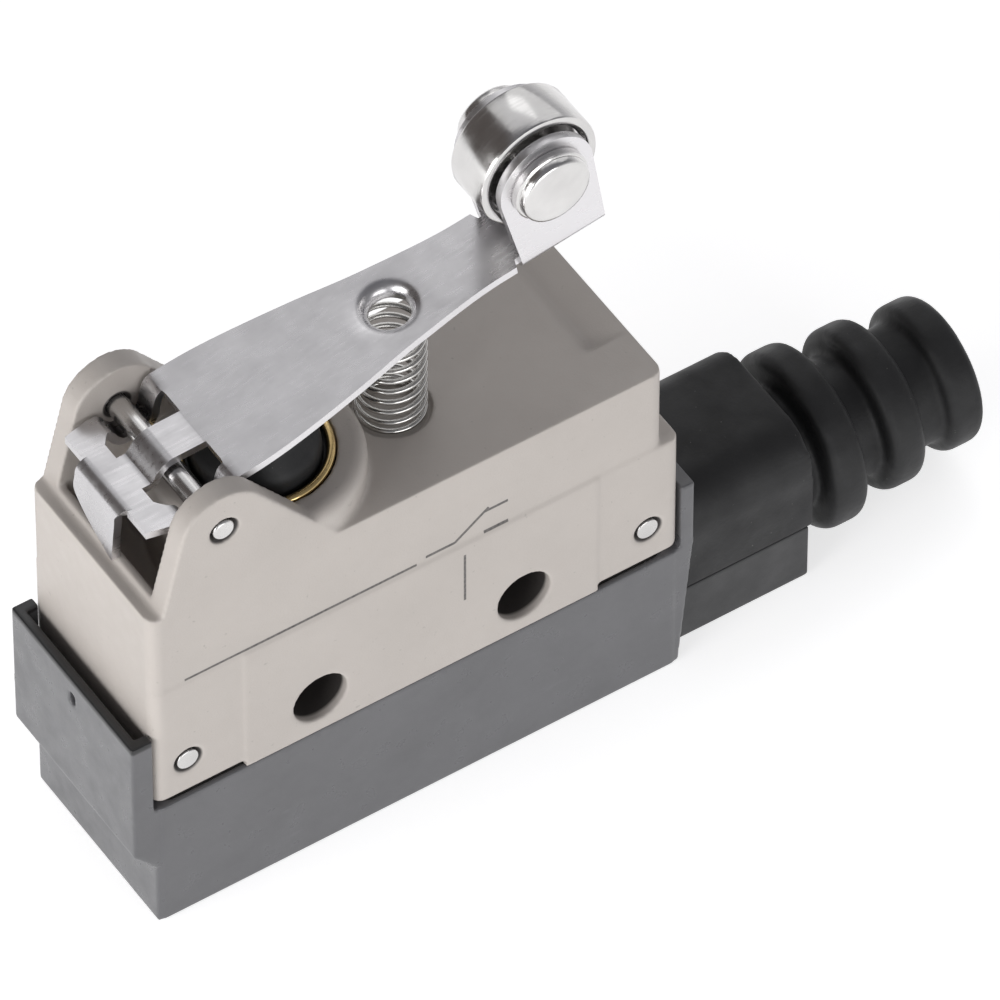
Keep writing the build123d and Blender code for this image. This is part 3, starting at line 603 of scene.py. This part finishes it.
# shares of the half width at which the sheet's columns run
HALF_COLUMNS = [1, 0.897, 0.793, STRAP_EDGE, 0.6175, ROOT_EDGE, 0.4185, MIDDLE_EDGE, 0.195, 0.0975]
COLUMNS = [-c for c in HALF_COLUMNS] + [0] + HALF_COLUMNS[::-1]
WINDOW_LEFT, WINDOW_RIGHT = -2.18, 2.7
WINDOW_LEFT_W = 0.32  # height of the sheet above the pin's axis where the straps meet the tail
NOTCH_LEFT = -2.85  # the windows run on into the tail as far as this
PLATE_STEP = 0.6  # length of the sheet's quads along the plate
BLOCK = (15.4, 22.4)  # stretch of the plate round the spring hole
SHOULDER = (27.7, 27.95)  # stretch in which the plate narrows to pass between the lugs
LUG_U = (28.2, 35.1)
LUG_R = 3.8
LUG_ROWS = 26
LUG_STATIONS = [LUG_U[0] + (LUG_U[1] - LUG_U[0]) * i / LUG_ROWS for i in range(LUG_ROWS + 1)]
BEND_R = 0.33
BETWEEN_BENDS = FORK_HALF - SHEET / 2 - BEND_R  # half of the flat width between the lugs' bends
LIP_FOOT_Z = 17.05  # lower edge of the tail's lip
TAIL_NARROWING = 0.35  # the tail's half width is this much less at its end


def on_lever(u, w, y):
    """A point of the released lever: u along the plate from the pin, w above it, y across."""
    return Vector((pin.x + u * cos(SLOPE) - w * sin(SLOPE), y, pin.z + u * sin(SLOPE) + w * cos(SLOPE)))


def off_lever(x, z):
    """u and w of a point in the row frame."""
    dx, dz = x - pin.x, z - pin.z
    return dx * cos(SLOPE) + dz * sin(SLOPE), dz * cos(SLOPE) - dx * sin(SLOPE)


def columns_within(low, high):
    return [c for c in COLUMNS if low <= c <= high]


MIDDLE_STRAP = columns_within(-MIDDLE_EDGE, MIDDLE_EDGE)
STRAPS = [columns_within(-1, -STRAP_EDGE), MIDDLE_STRAP, columns_within(STRAP_EDGE, 1)]
TAIL_ROOTS = [columns_within(-1, -ROOT_EDGE), MIDDLE_STRAP, columns_within(ROOT_EDGE, 1)]


def plate_half(u):
    return value_at(WIDTHS, u)


def steps(low, high, size):
    """Even stations from low to high that are about size apart."""
    count = max(1, round((high - low) / size))
    return [low + (high - low) * i / count for i in range(count + 1)]


def plate_rows(bm, u_values, half_of):
    add_grid(bm, [[on_lever(u, PLATE_W, c * half_of(u)) for c in COLUMNS] for u in u_values])


def spring_hole(bm):
    """The plate round the spring hole: rings from the block's outline into a collar drawn downwards."""
    low, high = BLOCK
    side = steps(low, high, PLATE_STEP)
    outline = [(u, plate_half(u)) for u in side]
    outline += [(high, c * plate_half(high)) for c in COLUMNS[::-1][1:]]
    outline += [(u, -plate_half(u)) for u in side[::-1][1:]]
    outline += [(low, c * plate_half(low)) for c in COLUMNS[1:-1]]
    rim_r, rim_bend, collar_r, dish = 2.55, 0.7, 1.85, 0.05

    def ring(radius, below):
        row = []
        for u, y in outline:
            away = Vector((u - HOLE_U, y)).normalized() * radius
            row.append(on_lever(HOLE_U + away.x, PLATE_W - below, away.y))
        return row

    rows = []
    for share in (1, 0.72, 0.48, 0.28, 0.12):
        row = []
        for u, y in outline:
            away = Vector((u - HOLE_U, y))
            point = (away.normalized() * rim_r).lerp(away, share)
            row.append(on_lever(HOLE_U + point.x, PLATE_W - dish * (1 - share) ** 2, point.y))
        rows.append(row)
    for k in range(8):
        a = radians(90 * k / 7)
        rows.append(ring(rim_r - rim_bend * sin(a), dish + rim_bend * (1 - cos(a))))
    rows.append(ring(collar_r, rim_bend + 0.12))
    add_grid(bm, [[*row, row[0]] for row in rows])


def lug(bm, side):
    """One lug of the fork: the bend at the plate's edge, then a flat cheek with an arc round the rivet."""
    centre_u, centre_w = off_lever(roller_axis.x, roller_axis.z)
    foot_w = PLATE_W + BEND_R

    def tangent(u, turn):
        away_u, away_w = u - centre_u, foot_w - centre_w
        return atan2(away_w, away_u) + turn * acos(LUG_R / sqrt(away_u**2 + away_w**2))

    left, right = tangent(LUG_U[0], -1) + 2 * pi, tangent(LUG_STATIONS[-1], 1)
    rows = []
    for i, u in enumerate(LUG_STATIONS):
        row = []
        for k in range(6):
            a = radians(-90 + 18 * k)
            row.append(on_lever(u, foot_w + BEND_R * sin(a), side * (BETWEEN_BENDS + BEND_R * cos(a))))
        top_angle = left + (right - left) * i / LUG_ROWS
        top = Vector((centre_u + LUG_R * cos(top_angle), centre_w + LUG_R * sin(top_angle)))
        for k in range(1, 15):
            at = Vector((u, foot_w)).lerp(top, k / 14)
            row.append(on_lever(at.x, at.y, side * (BETWEEN_BENDS + BEND_R)))
        rows.append(row)
    add_grid(bm, rows)


def strap(bm, path, columns):
    add_grid(bm, [[on_lever(u, w, c * HINGE_HALF) for c in columns] for u, w in path])


def lip_rows(columns, bend_x, bend_r, level):
    """Rows of the lip, rolled down by a quarter turn and then straight down to a point near the front.

    Both edges are y for shares of the straight height, counted from the roll.
    """
    back_edge = [(0, 2.89), (0.25, 3.1), (0.4, 3.0), (0.6, 2.0), (0.8, 0.5), (0.93, -0.8), (1, -1.45)]
    front_edge = [(0, -2.2), (0.5, -1.95), (1, -1.75)]
    half = (HINGE_HALF - TAIL_NARROWING) * ROOT_EDGE
    roll_steps, straight_steps = 8, 14

    def row(x, z, low_y, high_y):
        return [(x, low_y + (high_y - low_y) * (c / ROOT_EDGE + 1) / 2, z) for c in columns]

    rows = []
    for k in range(roll_steps + 1):
        a = radians(90 + 90 * k / roll_steps)
        low_y = -half + (half + front_edge[0][1]) * k / roll_steps
        rows.append(row(bend_x + bend_r * cos(a), level - bend_r + bend_r * sin(a), low_y, half))
    lip_length = level - bend_r - LIP_FOOT_Z
    for k in range(1, straight_steps + 1):
        s = k / straight_steps
        z = level - bend_r - lip_length * s
        rows.append(row(bend_x - bend_r, z, value_at(front_edge, s), value_at(back_edge, s)))
    return rows


def tail(bm):
    """The plate behind the pin, level at rest, with its edge rolled down into a pointed lip."""
    level = pin.z - 0.025
    right_x = on_lever(NOTCH_LEFT, 0, 0).x
    bend_x, bend_r = -20.35, 0.775  # the roll starts at this x
    edge_x = -20.75  # edge of the flat corners on either side of the roll
    xs = steps(bend_x, right_x, 0.4)[::-1]

    def row(x, columns):
        u, w = off_lever(x, level)
        share = max(0, (right_x - x) / (right_x - bend_x))
        half = HINGE_HALF - TAIL_NARROWING * share
        return [on_lever(u, w, c * half) for c in columns]

    add_grid(bm, [row(x, COLUMNS) for x in xs])
    # the windows' corners are cut off: each root widens from its strap's width to its own
    for part, narrow in zip(TAIL_ROOTS, STRAPS):
        start = [min(max(c, narrow[0]), narrow[-1]) for c in part]
        halfway = [(a + b) / 2 for a, b in zip(start, part)]
        first_row = [on_lever(WINDOW_LEFT, WINDOW_LEFT_W, c * HINGE_HALF) for c in start]
        add_grid(bm, [first_row, row(xs[0] + 0.3, halfway), row(xs[0], part)])
    for part in (TAIL_ROOTS[0], TAIL_ROOTS[-1]):
        add_grid(bm, [row(bend_x, part), row(edge_x, part)])
    add_grid(bm, lip_rows(columns_within(-ROOT_EDGE, ROOT_EDGE), bend_x, bend_r, level))


def make_lever():
    bm = bmesh.new()
    near_pin = steps(WINDOW_RIGHT + PLATE_STEP, BLOCK[0], PLATE_STEP)
    plate_rows(bm, [WINDOW_RIGHT, *near_pin], plate_half)
    spring_hole(bm)
    plate_rows(bm, steps(BLOCK[1], SHOULDER[0], PLATE_STEP), plate_half)
    plate_rows(bm, SHOULDER, lambda u: FORK_HALF if u == SHOULDER[0] else BETWEEN_BENDS)
    plate_rows(bm, [SHOULDER[1], *LUG_STATIONS], lambda u: BETWEEN_BENDS)
    for side in (-1, 1):
        lug(bm, side)
    # the middle strap goes over the pin, and the other two dip under it
    over_r, sunk = 1.6, 0.06
    ridge = [(over_r * cos(radians(a)), over_r * sin(radians(a)) - sunk) for a in range(80, 141, 12)]
    start, end = (WINDOW_RIGHT, PLATE_W), (WINDOW_LEFT, WINDOW_LEFT_W)
    middle = [start, (2.3, PLATE_W + 0.02), *ridge, (-1.75, 0.42), end]
    dip = [
        start, (2.35, 1.0), (1.95, 0.2), (1.65, -0.65), (1.0, -1.22), (0, -1.3),
        (-1.0, -1.22), (-1.55, -0.65), (-1.85, 0.05), end,
    ]
    for columns, path in zip(STRAPS, (dip, middle, dip)):
        strap(bm, through(path, 4), columns)
    tail(bm)
    bmesh.ops.remove_doubles(bm, verts=bm.verts, dist=0.004 * MM)
    bmesh.ops.recalc_face_normals(bm, faces=bm.faces)
    obj = object_from(bm, "lever_sheet")
    thick = obj.modifiers.new("sheet", "SOLIDIFY")
    thick.thickness = SHEET * MM
    thick.offset = 0
    thick.use_even_offset = True
    round_edges(obj, 0.09, 2, 50)
    stand_for(obj, "lever")


make_lever()


# ================================================================ roller and its rivet
def make_roller():
    low, high = cad_box_mm("roller")
    half, radius = (high.y - low.y) / 2, (high.z - low.z) / 2
    bore = 1.56
    face = [
        (bore, half - 0.1), (1.95, half - 0.1), (2.1, half - 0.5), (3.75, half - 0.5), (4.0, half - 0.12),
        (4.1, half - 0.03), (4.22, half), (radius - 0.22, half), (radius - 0.06, half - 0.07),
        (radius, half - 0.24),
    ]
    profile = face + [(r, -y) for r, y in face[::-1]]
    obj = object_from(lathe(profile, roller_axis, "Y", 144, closed=True), "roller_ground")
    mark_sharp(obj, 40)
    stand_for(obj, "roller")


def make_rivet():
    """A pin with two stepped heads whose faces are very slightly domed."""
    low, high = cad_box_mm("roller_axle")
    head_r, out_y = (high.z - low.z) / 2, (high.y - low.y) / 2
    head = [
        (1.5, FORK_HALF), (head_r - 0.1, FORK_HALF), (head_r, FORK_HALF + 0.1), (head_r, FORK_HALF + 0.62),
        (head_r - 0.1, FORK_HALF + 0.72), (head_r - 0.2, FORK_HALF + 0.74), (head_r - 0.22, out_y - 0.3),
        (head_r - 0.3, out_y - 0.14), (head_r - 0.48, out_y - 0.06), (head_r - 0.9, out_y - 0.03),
        (0, out_y),
    ]
    profile = [(r, -y) for r, y in head[::-1]] + head
    obj = object_from(lathe(profile, roller_axis, "Y", 128), "roller_rivet")
    mark_sharp(obj, 40)
    stand_for(obj, "roller_axle")


make_roller()
make_rivet()


# ================================================================ springs and diaphragm
def coil(node, name, wire_r, turns):
    """A round-wire compression spring with closed end turns.
    """
    low, high = cad_box_mm(node)
    centre = (low + high) / 2
    mean_r = (high.x - low.x) / 2 - wire_r
    bottom, top = low.z + wire_r, high.z - wire_r
    dead = 0.9  # closed turns at each end
    total = turns + 2 * dead
    per_turn, around = 48, 14
    count = int(total * per_turn)
    active = top - bottom - 2 * dead * 2 * wire_r

    def height(turn):
        if turn < dead:
            return bottom + turn * 2 * wire_r
        if turn > total - dead:
            return top - (total - turn) * 2 * wire_r
        s = (turn - dead) / turns
        return bottom + dead * 2 * wire_r + active * s

    bm = bmesh.new()
    rings = []
    for i in range(count + 1):
        turn = total * i / count
        a = 2 * pi * turn
        out = Vector((cos(a), sin(a), 0))
        middle = Vector((centre.x, centre.y, height(turn))) + out * mean_r
        rings.append([
            bm.verts.new((middle + (out * cos(b) + Vector((0, 0, 1)) * sin(b)) * wire_r) * MM)
            for b in (2 * pi * k / around for k in range(around))
        ])
    for a, b in zip(rings, rings[1:]):
        for k in range(around):
            j = (k + 1) % around
            bm.faces.new((a[k], b[k], b[j], a[j]))
    bm.faces.new(rings[0])
    bm.faces.new(rings[-1][::-1])
    bmesh.ops.recalc_face_normals(bm, faces=bm.faces)
    obj = object_from(bm, name)
    mark_sharp(obj, 60)
    stand_for(obj, node)
    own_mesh(obj)


def make_diaphragm():
    low, high = cad_box_mm("plunger_diaphragm")
    centre = ((low.x + high.x) / 2, 0, 0)
    rim_r, flange_z, dome_z = (high.x - low.x) / 2, low.z + 0.75, high.z
    outer = through(
        [
            (4.75, flange_z), (4.66, 19.4), (4.5, 20.3), (3.95, 21.1), (3.5, 21.75), (3.28, 22.5),
            (3.0, 23.3), (2.5, 23.95), (1.75, dome_z - 0.13), (0.8, dome_z - 0.01), (0, dome_z),
        ],
        4,
    )
    profile = [(0, low.z), (rim_r - 0.1, low.z), (rim_r, low.z + 0.1), (rim_r, flange_z - 0.12)]
    profile += [(rim_r - 0.12, flange_z), *outer]
    obj = object_from(lathe(profile, centre, "Z", 96), "diaphragm_rubber")
    mark_sharp(obj, 50)
    stand_for(obj, "plunger_diaphragm")
    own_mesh(obj)


def make_overtravel_spring():
    """The coil between plunger and pusher."""
    coil("overtravel_spring", "overtravel_coil", wire_r=0.17, turns=3.2)


coil("lever_spring", "lever_spring_coil", wire_r=0.21, turns=8.2)
make_diaphragm()
make_overtravel_spring()


# ================================================================ studio and camera
def make_stage():
    """A large pale floor that glows a little, as a light table does."""
    floor_z = cad_box[0].z / MM - 0.02
    bm = bmesh.new()
    size = 3000
    add_grid(bm, [[(x, y, floor_z) for x in (-size, size)] for y in (-size, size)])
    floor = object_from(bm, "floor")
    look = Finish("floor_paper", (0.86, 0.86, 0.86), 0.9)
    look.shader.inputs["Emission Color"].default_value = (1, 1, 1, 1)
    look.shader.inputs["Emission Strength"].default_value = 0.62
    floor.data.materials.append(look.material)


FLAG = (-0.755, 0.549, 0.357)  # direction of the dark flag that the roller mirrors


def make_world():
    """Studio surroundings: bright at the horizon, dim overhead, with a dark flag at the left rear."""
    world = bpy.data.worlds.new("studio")
    bpy.context.scene.world = world
    world.use_nodes = True
    tree = world.node_tree
    background = next(n for n in tree.nodes if n.type == "BACKGROUND")
    place = tree.nodes.new("ShaderNodeTexCoord")
    split = tree.nodes.new("ShaderNodeSeparateXYZ")
    tree.links.new(place.outputs["Generated"], split.inputs[0])
    ramp = tree.nodes.new("ShaderNodeValToRGB")
    tree.links.new(split.outputs["Z"], ramp.inputs[0])
    stops = ramp.color_ramp.elements
    stops[0].position, stops[0].color = 0.0, (0.98, 0.98, 0.99, 1)
    stops[1].position, stops[1].color = 1.0, (0.22, 0.22, 0.24, 1)
    for position, level in ((0.18, 0.72), (0.45, 0.28)):
        stops.new(position).color = (level, level, level * 1.03, 1)
    towards = tree.nodes.new("ShaderNodeVectorMath")
    towards.operation = "DOT_PRODUCT"
    tree.links.new(place.outputs["Generated"], towards.inputs[0])
    towards.inputs[1].default_value = FLAG
    falloff = tree.nodes.new("ShaderNodeMapRange")
    falloff.interpolation_type = "SMOOTHSTEP"
    tree.links.new(towards.outputs["Value"], falloff.inputs["Value"])
    falloff.inputs["From Min"].default_value = 0.62
    falloff.inputs["From Max"].default_value = 0.9
    mix = tree.nodes.new("ShaderNodeMix")
    mix.data_type = "RGBA"
    tree.links.new(falloff.outputs["Result"], mix.inputs["Factor"])
    tree.links.new(ramp.outputs[0], mix.inputs["A"])
    mix.inputs["B"].default_value = (0.13, 0.115, 0.11, 1)
    tree.links.new(mix.outputs["Result"], background.inputs["Color"])
    background.inputs["Strength"].default_value = 0.85


def softbox(name, azimuth, elevation, distance, width, height, watts):
    centre = (cad_box[0] + cad_box[1]) / 2
    a, e = radians(azimuth), radians(elevation)
    away = Vector((sin(a) * cos(e), -cos(a) * cos(e), sin(e)))
    data = bpy.data.lights.new(name, "AREA")
    data.shape = "RECTANGLE"
    data.size, data.size_y = width, height
    data.energy = watts
    obj = bpy.data.objects.new(name, data)
    bpy.context.scene.collection.objects.link(obj)
    obj.location = centre + away * distance
    obj.rotation_mode = "QUATERNION"
    obj.rotation_quaternion = (-away).to_track_quat("-Z", "Y")


def make_camera():
    """The long-lens view from the left front, well above the switch."""
    data = bpy.data.cameras.new("camera")
    data.sensor_width = 36
    data.lens = 540
    data.clip_start, data.clip_end = 0.01, 50
    obj = bpy.data.objects.new("camera", data)
    bpy.context.scene.collection.objects.link(obj)
    target = Vector((11.67, 0, 0.6)) * MM
    azimuth, elevation, distance = radians(-33.25), radians(49.37), 1.0586
    away = Vector((sin(azimuth) * cos(elevation), -cos(azimuth) * cos(elevation), sin(elevation)))
    obj.location = target + away * distance
    obj.rotation_mode = "QUATERNION"
    obj.rotation_quaternion = (-away).to_track_quat("-Z", "Y")
    bpy.context.scene.camera = obj


make_stage()
make_world()
softbox("key_left", azimuth=-82, elevation=14, distance=0.6, width=0.45, height=0.3, watts=2.35)
softbox("fill_front", azimuth=-4, elevation=14, distance=0.75, width=0.6, height=0.3, watts=1.7)
softbox("top_back", azimuth=169, elevation=56, distance=0.75, width=0.6, height=0.45, watts=0.5)
softbox("back_right", azimuth=134, elevation=40, distance=0.75, width=0.6, height=0.5, watts=0.62)
make_camera()
bpy.context.scene.view_settings.view_transform = "Standard"
